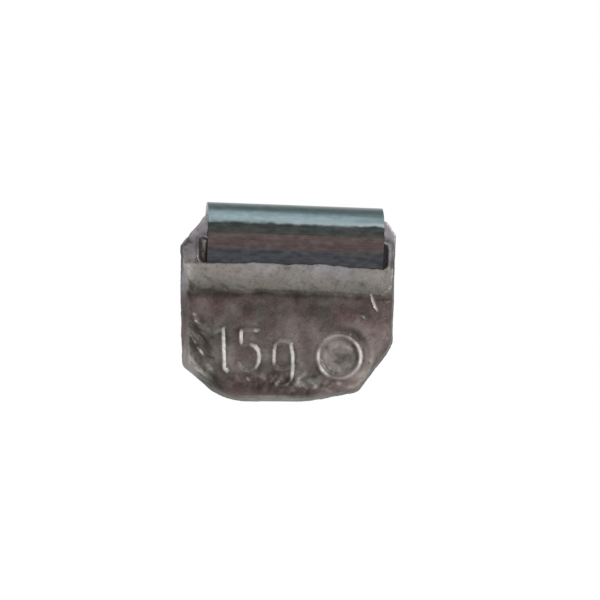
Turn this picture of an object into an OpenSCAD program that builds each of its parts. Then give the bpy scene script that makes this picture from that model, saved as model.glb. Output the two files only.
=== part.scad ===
// Clip-on wheel balance weight for a pressed steel rim.
// A folded spring-steel clip hooks over the rim's edge, and its lower leg is cast into a lead body.
// X runs along the rim, -Y faces outward from the wheel, and Z points away from the wheel's centre.
// The origin is the centre of the hook's bend, midway along the clip.

/* [Clip] */
// Length of the clip along the rim
clip_w = 19.3; // [17:0.1:22]
// Thickness of the spring-steel strip
strip_t = 0.9; // [0.7:0.05:1.1]
// Inner radius of the hook's bend
bend_r = 2.0; // [1.7:0.05:2.4]
// How far the back tongue leans in towards the front leg, in degrees
tongue_lean = 19; // [8:1:24]
// Straight length of the tongue below the bend
tongue_l = 2.4; // [1.5:0.1:3.2]
// Radius on which the tongue's tip turns away from the rim
tip_bend_r = 2.2; // [1.5:0.1:3]
// Angle through which the tip turns, in degrees
tip_angle = 52; // [30:1:70]
// Corner radius of the tongue's free end, seen from behind
tongue_corner_r = 1.6; // [0.5:0.1:2]
// How far the front leg reaches below the bend's centre
leg_l = 12.2; // [10:0.1:13.5]
// Width that the leg loses on each side inside the casting
leg_step = 1.5; // [0.5:0.1:2.5]
// Diameter of the holes that key the leg into the casting
key_hole_d = 2.6; // [1.5:0.1:3.5]
// Depth below the casting's top edge at which the leg starts to narrow
leg_step_drop = 1.1; // [0.8:0.1:2]
// Distance between neighbouring key holes
key_hole_pitch = 5.0; // [4:0.1:5.4]

/* [Casting outline, seen from the front] */
// Length of the casting along the rim
body_l = 23.95; // [23:0.05:26]
// How far the casting's middle lies to the right of the clip's middle
body_shift = -0.88; // [-1:0.02:0.5]
// Depth of the casting's top edge below the bend's centre
top_drop = 3.5; // [3.2:0.1:4.5]
// Height of the casting below its top edge
body_h = 15.3; // [14:0.1:17]
// How much the left end leans in towards the bottom
left_lean = 0.9; // [0:0.05:1.2]
// Height of the slanting cut at the lower left corner
left_cut_h = 4.2; // [3:0.1:6]
// Radius where the left cut meets the left end
left_corner_r = 1.0; // [0.5:0.1:2]
// Distance from the left end to the lowest point of the bottom edge
left_toe_x = 7.85; // [6.8:0.05:9]
// Radius where the left cut meets the bottom
left_toe_r = 6.5; // [4:0.1:7]
// Place of the middle of the bottom edge to the right of the clip's middle
bottom_x = 0.9; // [-1:0.1:2]
// Radius of the gently rounded bottom edge there
bottom_r = 8; // [6:0.5:9]
// Height of the middle of the bottom edge above its lowest point
bottom_rise = 0.15; // [0:0.05:0.3]
// Width of the slanting cut at the lower right corner
right_cut_w = 4.5; // [3.6:0.1:5.5]
// Height of the slanting cut at the lower right corner
right_cut_h = 7.4; // [5:0.1:9]
// Radius where the right cut meets the right end
right_corner_r = 2.5; // [1:0.1:4]
// Radius where the right cut meets the bottom
right_toe_r = 1.5; // [1:0.1:2.5]
// Height of that toe above the lowest point
right_toe_rise = 1.25; // [0.7:0.05:1.6]

/* [Casting section] */
// Radius of the rim's edge, which the casting follows
rim_r = 215; // [150:1:300]
// How far the casting's top lip stands in front of the clip
lip_t = 0.4; // [0.2:0.05:0.8]
// How far the front face stands in front of the clip under the sloping band
face_proud = 2.2; // [1.5:0.05:3]
// Height of the sloping band above the front face
band_h = 3.0; // [2:0.1:4]
// How much the front face falls back towards the bottom
face_fall = 0.55; // [0.2:0.05:1]
// How far the flat seat stands behind the clip's leg
seat_proud = 1.6; // [1:0.05:2.2]
// Height of the flat seat on the back
seat_h = 6; // [3:0.1:7]
// How much the back falls away from the seat to the bottom
back_fall = 1.5; // [0.5:0.05:2]
// Radius of the hollow that clears the rim's rolled edge
rim_hollow_r = 6; // [5:0.1:7]
// How much lower the casting starts behind the clip than in front of it
back_edge_drop = 1.5; // [1:0.1:2]
// How far the ends and the bottom lean in from the parting line to the front bevel
front_draft = 0.55; // [0.2:0.05:0.9]
// How far they lean in from the parting line to the back
back_draft = 0.4; // [0.1:0.05:0.8]
// Width of the bevel round the front face
edge_bevel_w = 1.45; // [0.5:0.05:2]
// Depth of the bevel round the front face
edge_bevel_d = 0.7; // [0.3:0.05:1.2]

/* [Pin mark on the front face] */
// Place of the round mark to the right of the clip's middle
pin_x = 4.95; // [3:0.05:5.5]
// Height of its centre above the lowest point of the casting
pin_rise = 5.3; // [4.8:0.1:7]
// Diameter along the middle of its raised rim
pin_d = 4.66; // [3:0.02:5]
// Width of the raised rim
pin_rim_w = 0.5; // [0.3:0.02:0.8]
// Height of the raised rim above the face
pin_rim_h = 0.22; // [0.1:0.01:0.3]

/* [Cheeks beside the clip] */
// Height above the bend's centre where a cheek ends at the clip's edge
cheek_top = 1.7; // [1.2:0.05:2]
// Width that a cheek's flank leaves beside the clip where it turns upright
cheek_tip_w = 0.48; // [0.3:0.02:0.8]
// Depth of a cheek at its top
cheek_tip_d = 0.6; // [0.4:0.05:0.9]
// Radius of the hollow flank of a cheek
flank_r = 2.6; // [1.5:0.1:4]
// Height of that radius's centre above the bend's centre
flank_z = 2.0; // [1.5:0.05:2.5]
// Slope of a cheek's shoulder, in degrees
shoulder_angle = 51; // [40:1:60]
// Width of the pocket between the left cheek and the clip
left_pocket_w = 0.82; // [0.4:0.02:1.1]
// Width of the pocket between the right cheek and the clip
right_pocket_w = 0.44; // [0.2:0.02:0.6]
// Height of the pockets
pocket_h = 2.9; // [1.5:0.1:3.2]
// How much lower a pocket ends at the clip than at the cheek
pocket_slant = 0.5; // [0:0.1:0.8]
// Thickness of the skin left behind a pocket
pocket_skin = 0.3; // [0.15:0.05:0.5]

/* [Hidden] */
$fn = 96;
// Facets of a circle in the casting's tapered envelope
envelope_fn = 40;
// Facets of a full turn round the wheel
sweep_fn = 720;
// Longer than any length of the part, for blanks and cutters
ample = 40;
// Thickness of the envelope's cross-sections, and overlap of touching shapes in one solid
sliver = 0.01;
// How far the envelope passes the front face and the seat
past = 0.2;
// Height of the envelope's blank above the cheeks, and its distance from them
headroom = 1;
// Angle by which the two stretches of the clip's bend overlap
bend_overlap = 10;

bend_outer_r = bend_r + strip_t;
half_clip = clip_w / 2;
leg_front_y = -bend_outer_r;
leg_back_y = -bend_r;

body_left = body_shift - body_l / 2;
body_right = body_shift + body_l / 2;
body_top_z = -top_drop;
body_bottom_z = -top_drop - body_h;
back_edge_z = body_top_z - back_edge_drop;

lip_y = leg_front_y - lip_t;
face_y = leg_front_y - face_proud;
seat_y = leg_back_y + seat_proud;
seat_top_z = body_top_z - sqrt(pow(rim_hollow_r, 2) - pow(rim_hollow_r - seat_proud, 2));
seat_bottom_z = seat_top_z - seat_h;

// How far the casting's top edge has dropped along the rim's curve at the clip's ends
edge_drop = rim_r - sqrt(pow(rim_r, 2) - pow(half_clip, 2));
// Half the angle of rim that the swept section covers, more than the casting's length
sweep_half = asin(body_l / (rim_r + body_bottom_z));

// Slope of the front face, in degrees, and its depth at a given height
face_tilt = atan(face_fall / (body_h - band_h));
function face_depth(z) = face_y + (body_top_z - band_h - z) * tan(face_tilt);
pin_z = body_bottom_z + pin_rise;

leg_step_z = body_top_z - leg_step_drop;
key_hole_z = (leg_step_z - leg_step - leg_l) / 2;
// The lowest point of the tongue's turned-out tip
tip_z = -tongue_l * cos(tongue_lean)
  - (bend_outer_r + tip_bend_r) * sin(tongue_lean)
  - (tip_bend_r + strip_t) * sin(tip_angle - tongue_lean);

// Turns an outline drawn in the section plane (Y, Z) into a bar along X
module bar_along_x(length) {
  rotate([90, 0, 90])
    linear_extrude(length, center = true)
      children();
}

// Turns an outline drawn in the front view (X, Z) into a plate between two depths
module plate_between(y_front, y_back) {
  translate([0, y_back, 0])
    rotate([90, 0, 0])
      linear_extrude(y_back - y_front)
        children();
}

// A strip of thickness t bent on inner radius r, from angle a0 to angle a1
module bent_strip(r, t, a0, a1) {
  reach = 2 * (r + t);
  steps = 4;
  intersection() {
    difference() {
      circle(r + t);
      circle(r);
    }
    polygon(concat(
      [[0, 0]],
      [for (i = [0 : steps]) let (a = a0 + (a1 - a0) * i / steps) reach * [cos(a), sin(a)]]
    ));
  }
}

// Section of the folded strip: leg, bend, leaning tongue and turned-out tip.
// The two stretches of the bend overlap at the top.
module clip_section() {
  translate([leg_front_y, -leg_l])
    square([strip_t, leg_l]);
  bent_strip(bend_r, strip_t, 90, 180);
  rotate(-tongue_lean) {
    bent_strip(bend_r, strip_t, 0, 90 + bend_overlap + tongue_lean);
    translate([bend_r, -tongue_l])
      square([strip_t, tongue_l]);
    translate([bend_outer_r + tip_bend_r, -tongue_l])
      bent_strip(tip_bend_r, strip_t, 180, 180 + tip_angle);
  }
}

// Front view of the leg: full width above, narrower and chamfered inside the casting
module leg_blank() {
  half_in = half_clip - leg_step;
  polygon([
    [-half_clip, ample],
    [-half_clip, leg_step_z],
    [-half_in, leg_step_z - leg_step],
    [-half_in, leg_step - leg_l],
    [leg_step - half_in, -leg_l],
    [half_in - leg_step, -leg_l],
    [half_in, leg_step - leg_l],
    [half_in, leg_step_z - leg_step],
    [half_clip, leg_step_z],
    [half_clip, ample]
  ]);
}

// Back view of the tongue, with rounded free corners
module tongue_blank() {
  corner_z = tip_z + tongue_corner_r;
  translate([-half_clip, corner_z])
    square([clip_w, ample]);
  translate([tongue_corner_r - half_clip, tip_z])
    square([clip_w - 2 * tongue_corner_r, tongue_corner_r]);
  for (side = [-1, 1])
    translate([side * (half_clip - tongue_corner_r), corner_z])
      circle(tongue_corner_r);
}

module key_holes() {
  for (i = [-1 : 1])
    translate([i * key_hole_pitch, leg_front_y - strip_t, key_hole_z])
      rotate([-90, 0, 0])
        cylinder(h = 3 * strip_t, d = key_hole_d);
}

module clip_solid() {
  difference() {
    intersection() {
      bar_along_x(clip_w)
        clip_section();
      union() {
        plate_between(-ample, strip_t)
          leg_blank();
        plate_between(0, ample)
          tongue_blank();
      }
    }
    key_holes();
  }
}

// Front view of the casting at its parting line, open towards the top
module body_outline() {
  $fn = envelope_fn;
  hull() {
    translate([body_left, cheek_top + headroom])
      square([body_l, headroom]);
    translate([body_left + left_lean + left_corner_r, body_bottom_z + left_cut_h])
      circle(left_corner_r);
    translate([body_left + left_toe_x, body_bottom_z + left_toe_r])
      circle(left_toe_r);
    translate([bottom_x, body_bottom_z + bottom_rise + bottom_r])
      circle(bottom_r);
    translate([body_right - right_cut_w, body_bottom_z + right_toe_rise + right_toe_r])
      circle(right_toe_r);
    translate([body_right - right_corner_r, body_bottom_z + right_cut_h])
      circle(right_corner_r);
  }
}

// One cross-section of the envelope, drawn in by a margin all round
module envelope_sheet(y, margin) {
  plate_between(y, y + sliver)
    offset(delta = -margin)
      body_outline();
}

// The casting's ends and bottom lean in from the parting line to the front and to the back
module body_envelope() {
  hull() {
    envelope_sheet(face_y - past, front_draft + edge_bevel_w * (1 + past / edge_bevel_d));
    envelope_sheet(face_y + edge_bevel_d, front_draft);
    envelope_sheet(leg_back_y, 0);
    envelope_sheet(seat_y + past, back_draft * (1 + past / seat_proud));
  }
}

// Section of the casting: top lip, sloping band, front face, seat and the hollow for the rim's edge.
// Each point is [distance from the wheel's centre, depth towards the front].
module body_section() {
  difference() {
    polygon([
      [rim_r + body_top_z, -leg_back_y],
      [rim_r + body_top_z, -lip_y],
      [rim_r + body_top_z - band_h, -face_y],
      [rim_r + body_bottom_z - sliver, -face_y - face_fall],
      [rim_r + body_bottom_z - sliver, -seat_y + back_fall],
      [rim_r + seat_bottom_z, -seat_y],
      [rim_r + back_edge_z, -seat_y],
      [rim_r + back_edge_z, -leg_back_y]
    ]);
    translate([rim_r + body_top_z, -leg_back_y - rim_hollow_r])
      circle(rim_hollow_r);
  }
}

module swept_body() {
  translate([0, 0, -rim_r])
    rotate([90, 0, 0])
      rotate_extrude(angle = 2 * sweep_half, start = 90 - sweep_half, $fn = sweep_fn)
        body_section();
}

// Raised rim of the round pin mark, square to the front face
module pin_mark() {
  root = face_proud / 2;
  translate([pin_x, face_depth(pin_z), pin_z])
    rotate([90 + face_tilt, 0, 0])
      translate([0, 0, -root])
        difference() {
          cylinder(h = root + pin_rim_h, d = pin_d + pin_rim_w);
          cylinder(h = root + 2 * pin_rim_h, d = pin_d - pin_rim_w);
        }
}

// Front view of the right cheek: a slanting shoulder that hollows up to a thin tip along the clip
module cheek_outline() {
  flank_x = half_clip + cheek_tip_w + flank_r;
  turn = [flank_x - flank_r * sin(shoulder_angle), flank_z - flank_r * cos(shoulder_angle)];
  difference() {
    polygon([
      [half_clip - sliver, back_edge_z],
      [turn[0] + (turn[1] - back_edge_z) / tan(shoulder_angle), back_edge_z],
      turn,
      [half_clip + 2 * cheek_tip_w, cheek_top - 2 * cheek_tip_w],
      [half_clip - sliver, cheek_top]
    ]);
    translate([flank_x, flank_z])
      circle(flank_r);
  }
}

// Section of a cheek: its front leans back from the lip to the tip
module cheek_section() {
  polygon([
    [leg_back_y, back_edge_z],
    [lip_y, back_edge_z],
    [lip_y, body_top_z - edge_drop],
    [leg_back_y - cheek_tip_d, cheek_top],
    [leg_back_y, cheek_top]
  ]);
}

module cheeks() {
  intersection() {
    bar_along_x(2 * body_l)
      cheek_section();
    union() {
      plate_between(-ample, ample)
        cheek_outline();
      mirror([1, 0, 0])
        plate_between(-ample, ample)
          cheek_outline();
    }
  }
}

// The slot between a cheek and the clip's edge, on the right side
module pocket(w) {
  floor_z = body_top_z - edge_drop;
  plate_between(-ample, leg_back_y - pocket_skin)
    polygon([
      [half_clip - sliver, floor_z],
      [half_clip + w, floor_z],
      [half_clip + w, floor_z + pocket_h],
      [half_clip - sliver, floor_z + pocket_h - pocket_slant]
    ]);
}

module clip() {
  color([0.42, 0.47, 0.49])
    clip_solid();
}

module weight_body() {
  color([0.34, 0.31, 0.30])
    difference() {
      union() {
        intersection() {
          union() {
            swept_body();
            cheeks();
          }
          body_envelope();
        }
        pin_mark();
      }
      clip_solid();
      pocket(right_pocket_w);
      mirror([1, 0, 0])
        pocket(left_pocket_w);
    }
}

clip();
weight_body();
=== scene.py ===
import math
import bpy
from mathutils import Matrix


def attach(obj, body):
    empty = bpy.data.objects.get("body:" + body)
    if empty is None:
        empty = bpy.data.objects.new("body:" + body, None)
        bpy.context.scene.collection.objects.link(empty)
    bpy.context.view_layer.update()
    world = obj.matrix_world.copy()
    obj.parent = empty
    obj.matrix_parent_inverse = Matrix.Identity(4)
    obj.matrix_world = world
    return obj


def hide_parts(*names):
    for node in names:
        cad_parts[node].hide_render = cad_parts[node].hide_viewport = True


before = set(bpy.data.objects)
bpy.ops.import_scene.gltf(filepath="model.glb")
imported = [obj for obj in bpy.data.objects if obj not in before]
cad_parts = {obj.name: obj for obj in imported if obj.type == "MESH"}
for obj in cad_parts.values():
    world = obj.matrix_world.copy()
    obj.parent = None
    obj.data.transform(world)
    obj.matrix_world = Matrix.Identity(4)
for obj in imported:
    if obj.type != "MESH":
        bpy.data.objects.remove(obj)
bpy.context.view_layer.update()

# Wheel balance weight: the finish of its lead casting and spring-steel clip, some light and shade painted into it, with
# camera, floor and light.
# X runs along the rim, -Y faces outward and Z points away from the wheel's centre, in metres.
# The casting is shaped in millimetres and scaled at the end, so its tables are in millimetres too.

from types import SimpleNamespace

import bmesh
import bpy
import numpy as np
from mathutils import Matrix, Vector

MM = 0.001
RIM_R = 215.0

# Camera: angles in degrees, lengths in metres, and the sensor in millimetres

CAMERA_AZIMUTH, CAMERA_ELEVATION, CAMERA_ROLL = -6, 0.5, 2
CAMERA_DISTANCE = 0.3
CAMERA_TARGET = Vector((0.000634, -0.0029, -0.007486))
VIEW_NEAR, VIEW_FAR = 0.01, 10.0
VIEW_WIDTH = 0.06543
SENSOR_WIDTH = 36.0


def direction(azimuth, elevation):
    """Unit vector from the object: azimuth 0 is straight in front and 90 is +X, in degrees."""
    a, e = math.radians(azimuth), math.radians(elevation)
    return Vector((math.sin(a) * math.cos(e), -math.cos(a) * math.cos(e), math.sin(e)))


def make_camera():
    """A long lens close to straight on, with the object rolled a little clockwise."""
    back = direction(CAMERA_AZIMUTH, CAMERA_ELEVATION)
    a, roll = math.radians(CAMERA_AZIMUTH), math.radians(CAMERA_ROLL)
    level = Vector((math.cos(a), math.sin(a), 0))
    upright = back.cross(level)
    right = math.cos(roll) * level + math.sin(roll) * upright
    up = math.cos(roll) * upright - math.sin(roll) * level
    data = bpy.data.cameras.new("camera")
    data.sensor_width = SENSOR_WIDTH
    data.lens = SENSOR_WIDTH * CAMERA_DISTANCE / VIEW_WIDTH
    data.clip_start, data.clip_end = VIEW_NEAR, VIEW_FAR
    camera = bpy.data.objects.new("camera", data)
    place = Matrix((right, up, back)).transposed().to_4x4()
    place.translation = CAMERA_TARGET + CAMERA_DISTANCE * back
    camera.matrix_world = place
    bpy.context.scene.collection.objects.link(camera)
    bpy.context.scene.camera = camera


# Noise, soft steps, humps and spots that the casting's masks are made of


def smoothstep(low, high, value):
    t = np.clip((value - low) / (high - low), 0.0, 1.0)
    return t * t * (3 - 2 * t)


def lattice_value(corner, seed):
    """A repeatable number from -1 to 1 for each lattice corner."""
    n = corner[:, 0] * 374761393 + corner[:, 1] * 668265263 + corner[:, 2] * 2147483647 + seed * 974634777
    n = n & 0xFFFFFFFF
    n = ((n ^ (n >> 13)) * 1274126177) & 0xFFFFFFFF
    return ((n ^ (n >> 16)) & 0xFFFF) / 32767.5 - 1.0


def noise(points, wavelength, seed, octaves):
    """Smooth noise from about -1 to 1; each octave has half the wavelength and half the height."""
    total, height, reach = 0.0, 1.0, 0.0
    for octave in range(octaves):
        place = points * (2**octave / wavelength)
        cell = np.floor(place).astype(np.int64)
        part = place - cell
        part = part * part * (3 - 2 * part)
        value = 0.0
        for dx in (0, 1):
            for dy in (0, 1):
                for dz in (0, 1):
                    near = np.abs(np.array((1 - dx, 1 - dy, 1 - dz)) - part).prod(axis=1)
                    value = value + near * lattice_value(cell + (dx, dy, dz), seed + octave)
        total = total + height * value
        reach += height
        height *= 0.5
    return total / reach


def hump(away, width, power=2):
    """1 where away is 0, falling to 0 on both sides."""
    return np.exp(-((away / width) ** power))


def spot(x, z, centre, half_size, power=2):
    """1 in the middle of a soft oval in the front view, falling to 0 outside; power shapes its ends along X."""
    (cx, cz), (rx, rz) = centre, half_size
    return np.exp(-(((x - cx) / rx) ** power) - ((z - cz) / rz) ** 2)


def sum_of_spots(x, z, spots):
    return sum(amount * spot(x, z, centre, half_size) for centre, half_size, amount in spots)


def along_path(x, z, path):
    """Distance in the front view from each point to a line of straight stretches, and how far along it, 0 to 1."""
    nearest, along = np.full(len(x), 1e9), np.zeros(len(x))
    lengths = [math.dist(a, b) for a, b in zip(path[:-1], path[1:])]
    done = 0.0
    for (ax, az), (bx, bz), length in zip(path[:-1], path[1:], lengths):
        part = np.clip(((x - ax) * (bx - ax) + (z - az) * (bz - az)) / length**2, 0.0, 1.0)
        away = np.hypot(x - ax - part * (bx - ax), z - az - part * (bz - az))
        along = np.where(away < nearest, (done + part * length) / sum(lengths), along)
        nearest = np.minimum(nearest, away)
        done += length
    return nearest, along


# Lead casting: the mesh's voxel, passes of smoothing (of the shape, for which way it faces and for what stands
# out), and the front, beyond FINE_Y and below FINE_Z, which is split finer

VOXEL = 0.155
ROUNDING_PASSES, FACING_PASSES, STAND_PASSES = 4, 14, 6
FINE_Y, FINE_Z = -3.7, -6.2

# Raised figures on the front face: strokes in the front view (X, Z), each with one strength from 0 to 1 for how
# well it has kept its height and how bright its painted highlight is
FIGURE_STROKES = [
    ([(-8.75, -11.35), (-7.85, -10.85)], 0.35),
    ([(-7.80, -10.80), (-7.66, -13.00), (-7.50, -15.10), (-7.20, -15.45)], 1.0),
    ([(-5.85, -11.00), (-4.50, -10.95)], 0.30),
    ([(-4.45, -10.93), (-4.05, -10.95)], 0.62),
    ([(-5.86, -11.05), (-5.80, -12.35)], 0.95),
    ([(-5.75, -12.60), (-5.25, -12.48), (-4.80, -12.48)], 0.25),
    ([(-4.75, -12.50), (-4.30, -12.68), (-3.92, -13.15), (-3.78, -13.75), (-3.85, -14.45), (-4.15, -15.00)], 0.85),
    ([(-4.20, -15.02), (-4.90, -15.38), (-5.55, -15.22)], 0.32),
    ([(-5.55, -15.22), (-6.05, -14.60)], 0.30),
    ([(-0.50, -12.22), (-0.90, -11.98), (-1.65, -11.98), (-2.05, -12.35)], 0.40),
    ([(-2.08, -12.40), (-2.18, -12.95), (-2.16, -14.50)], 0.78),
    ([(-2.12, -14.60), (-1.80, -14.98), (-1.15, -15.12), (-0.45, -14.85)], 0.30),
    ([(-0.42, -12.30), (-0.16, -13.50), (-0.08, -15.00), (-0.22, -16.20)], 0.92),
    ([(-0.25, -16.25), (-0.75, -16.72), (-1.30, -16.78)], 0.40),
    ([(-1.30, -16.78), (-1.85, -16.45)], 0.18),
]
# A stroke's flat top, its foot and its height, what is left of the height where it is worn away, the painted
# shade at the foot and the wider dark halo outside it, and the bare ridge that carries the painted highlight: half
# width and softness, with what a kept stroke adds
STROKE_TOP = 0.12
STROKE_FOOT = 0.34
STROKE_HEIGHT = 0.24
STROKE_WORN = 0.25
EDGE_REACH, HALO_REACH = 0.20, 0.65
RIDGE_HALF_WIDTH = 0.09
RIDGE_SOFTNESS, KEPT_SOFTNESS = 0.11, 0.08

# Raised rim of the pin mark, which the CAD casting has, and its better-kept stretches, which also carry its painted
# highlight: angle, spread, strength
PIN_CENTRE = (4.95, -13.50)
PIN_R = 2.33
PIN_RIM_HALF_WIDTH = 0.25
PIN_DISH = 0.05
PIN_WEAR = 0.12
PIN_WORN_RIM = 0.14
PIN_KEPT = [(12, 48, 1.0), (182, 24, 0.62), (222, 20, 0.85)]

# Knocks and scratches on the front: path, half width, depth, brightness (negative is dark). Brightness is partly a
# painted glint, most of all on the nick at the right, and the two dark marks at the left shoulder are painted shadow
SCARS = [
    ([(8.14, -6.55), (8.36, -7.20), (8.58, -7.85), (9.00, -8.45)], 0.145, 0.14, 1.5),
    ([(7.28, -8.95), (7.66, -9.30)], 0.13, 0.06, 0.85),
    ([(5.85, -10.05), (6.35, -10.15)], 0.12, 0.05, 0.4),
    ([(-11.05, -9.20), (-10.75, -9.50)], 0.22, 0.06, 1.1),
    ([(-10.95, -10.00), (-10.35, -10.45), (-9.90, -10.80)], 0.17, 0.06, 0.9),
    ([(-11.40, -11.55), (-11.05, -12.15), (-10.60, -12.65)], 0.16, 0.07, 1.1),
    ([(-10.55, -12.95), (-10.05, -13.45), (-9.75, -13.85)], 0.18, 0.06, 1.1),
    ([(-12.35, -11.35), (-11.70, -11.50), (-11.30, -11.40)], 0.24, 0.10, 0.95),
    ([(-11.30, -10.30), (-10.50, -10.90), (-9.60, -11.30)], 0.16, 0.07, -0.8),
    ([(-10.60, -11.40), (-9.90, -12.00), (-9.00, -12.95)], 0.20, 0.08, -0.9),
    ([(-9.60, -13.75), (-9.05, -14.05), (-8.60, -14.10)], 0.18, 0.08, -0.9),
    ([(-11.20, -12.00), (-10.60, -13.10)], 0.12, 0.05, -0.7),
    ([(-10.50, -13.50), (-10.00, -14.20)], 0.14, 0.06, -0.7),
    ([(-10.20, -14.60), (-9.70, -15.30), (-9.60, -15.80)], 0.26, 0.07, -0.6),
    ([(-10.20, -15.70), (-9.20, -16.75), (-7.70, -17.45)], 0.15, 0.07, -0.8),
    ([(-9.70, -15.55), (-8.80, -16.35), (-7.50, -17.00)], 0.12, -0.05, 0.35),
    ([(1.00, -16.40), (1.30, -16.85), (1.65, -17.15)], 0.20, 0.10, 0.9),
    ([(1.55, -16.05), (1.95, -16.50)], 0.14, 0.06, 0.75),
    ([(2.20, -16.25), (2.60, -16.65)], 0.13, 0.05, 0.6),
    ([(0.55, -15.90), (0.90, -16.15)], 0.13, 0.05, 0.5),
    ([(2.10, -17.00), (2.90, -17.15)], 0.14, 0.05, 0.35),
    ([(3.60, -16.45), (3.85, -16.95)], 0.15, 0.05, 0.5),
    ([(4.40, -16.60), (4.75, -17.05)], 0.14, 0.05, 0.45),
    ([(-5.05, -16.05), (-4.75, -16.45)], 0.15, 0.06, 0.85),
    ([(-3.70, -15.80), (-3.25, -16.20)], 0.16, 0.06, 0.7),
    ([(-2.45, -16.15), (-2.15, -16.35)], 0.13, 0.05, 0.5),
    ([(-6.30, -15.95), (-5.95, -16.15)], 0.14, 0.05, 0.5),
    ([(-7.20, -15.90), (-6.30, -16.55), (-5.10, -16.80)], 0.24, 0.05, -0.6),
    ([(8.25, -13.70), (8.60, -14.00)], 0.13, 0.05, 1.0),
    ([(0.70, -12.70), (1.45, -13.75)], 0.10, 0.04, 0.4),
    ([(-6.10, -13.40), (-5.60, -13.30)], 0.10, 0.03, 0.4),
    ([(-4.70, -10.10), (-4.10, -10.30)], 0.16, 0.03, 0.3),
    ([(-11.95, -1.15), (-11.70, -1.60), (-11.35, -1.65)], 0.34, 0.10, -1.0),
    ([(-12.40, -2.30), (-12.05, -1.80), (-11.65, -1.30)], 0.30, 0.07, -1.0),
    ([(6.90, -5.45), (7.60, -5.90)], 0.20, 0.06, -0.6),
    ([(-10.00, -5.35), (-9.30, -5.65), (-9.00, -6.20)], 0.20, 0.07, -0.5),
    ([(-8.30, -6.05), (-7.60, -6.50), (-7.40, -6.90)], 0.20, 0.08, -0.6),
    ([(-11.55, -6.10), (-11.15, -6.90)], 0.28, 0.08, -0.8),
    ([(-6.50, -6.15), (-5.60, -6.35)], 0.22, 0.05, -0.4),
]
# The painted shadow beside a bright scar lies this far to its lower left
SCAR_SHADE = (0.20, 0.16)

# Broad soft patches on the front: centre, half size, how much lighter (negative is darker)
PATCHES = [
    ((8.3, -13.6), (1.6, 3.4), 0.44),
    ((7.0, -16.0), (1.5, 1.1), 0.34),
    ((2.6, -13.0), (3.4, 3.0), 0.18),
    ((4.9, -13.5), (3.2, 3.1), 0.12),
    ((-6.95, -13.6), (0.45, 1.9), 0.24),
    ((-1.25, -13.7), (0.6, 1.2), 0.10),
    ((-1.9, -16.1), (0.4, 0.35), 0.34),
    ((0.55, -14.2), (0.4, 2.0), 0.14),
    ((-4.9, -14.2), (1.0, 0.9), 0.14),
    ((-5.7, -14.6), (0.55, 0.5), 0.36),
    ((3.2, -16.8), (2.0, 0.6), 0.26),
    ((-1.5, -14.2), (5.5, 2.6), 0.10),
    ((-10.8, -15.0), (1.2, 1.4), 0.10),
    ((-5.0, -9.9), (2.2, 0.7), 0.12),
    ((-3.0, -8.3), (8.0, 1.6), -0.24),
    ((-3.2, -10.4), (3.4, 0.7), -0.12),
    ((5.2, -10.2), (2.6, 0.6), -0.12),
    ((-9.6, -6.4), (2.4, 0.5), -0.20),
    ((-6.0, -17.3), (4.2, 1.1), -0.42),
    ((5.4, -16.1), (1.5, 0.35), -0.22),
    ((-4.4, -12.9), (0.8, 0.7), -0.12),
    ((0.2, -17.6), (3.0, 0.7), -0.46),
    ((10.2, -8.3), (1.3, 1.5), -0.40),
    ((10.3, -10.7), (0.8, 1.2), 0.48),
    ((-10.2, -12.6), (1.3, 1.8), -0.16),
]

# Grime on the casting's bevelled rim, and painted shade along its left edge near the top: centre, half size, how dark
RIM_STAINS = [
    ((8.9, -14.6), (2.2, 2.8), 0.38),
    ((5.8, -17.6), (1.9, 1.1), 0.32),
    ((-9.4, -17.1), (1.8, 1.4), 0.34),
    ((-12.4, -9.0), (1.0, 1.7), 0.26),
    ((-11.95, -9.2), (0.35, 2.2), 0.42),
    ((-12.7, -3.4), (0.35, 2.6), 0.55),
]

# Painted light on the bevelled rim, where its bottom and its sides catch the light: centre, half size, how much
# lighter
RIM_LIGHTS = [
    ((-1.0, -18.4), (6.0, 1.2), 0.68),
    ((-11.4, -14.8), (1.4, 1.6), 1.12),
    ((-12.1, -5.0), (1.0, 2.4), 0.60),
    ((11.0, -9.0), (1.2, 3.0), 0.16),
]

# Form: heights, depths, half widths and places in mm, angles round the pin mark in degrees
FOLD_HEIGHT = 0.08
FOLD_ANGLE = math.radians(48)
FOLD_LENGTH, FOLD_WIDTH = 1.7, 0.48
CREASE_Z = -6.88
CREASE_DEPTH = 0.08
HOLLOW_DEPTH = 0.12
HOLLOW_R, HOLLOW_HALF_WIDTH = 3.20, 0.42
HOLLOW_ANGLE, HOLLOW_SPREAD = 52, 34
WAVE_HEIGHT = 0.060
LUMP_HEIGHT = 0.060
GRIT_HEIGHT, ROUGH_GRIT_HEIGHT = 0.020, 0.07
PIT_DEPTH = 0.06
ROUGH_CENTRE, ROUGH_HALF_SIZE = (0.2, -16.3), (5.8, 0.95)
LIP_EDGE_Z, LIP_EDGE_HALF_WIDTH = -3.35, 0.28
PARTING_Y, PARTING_HALF_WIDTH = -2.0, 0.13
FLASH_HEIGHT = 0.07

# The slot that the clip's leg fills, where the casting stays smooth
SLOT_HALF = 9.7
SLOT_FRONT, SLOT_BACK = -2.95, -1.95

# Pockets beside the clip: middle, the painted shade along their outer side, and the painted shade at their top
POCKET_X = 10.0
POCKET_SIDE_X, POCKET_SIDE_WIDTH = 10.72, 0.24
POCKET_TOP_Z, POCKET_TOP_HALF_SIZE = -0.72, (0.50, 0.38)
POCKET_PASSES = 16

# Boxes round the pockets and round the clip's sides: axis (0 is the distance from the middle), start, full;
# and how far the casting's edges are drawn towards the clip there
NEAR_POCKET = [(0, 9.55, 9.75), (0, 10.9, 10.5), (1, -1.9, -2.2), (2, -4.0, -3.4), (2, 0.1, -0.4)]
NEAR_CLIP = [(0, 10.05, 9.85), (0, 9.5, 9.6), (1, -3.5, -3.3), (2, -4.6, -4.0), (2, 2.0, 1.6)]
CLIP_PULL = 0.18
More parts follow.
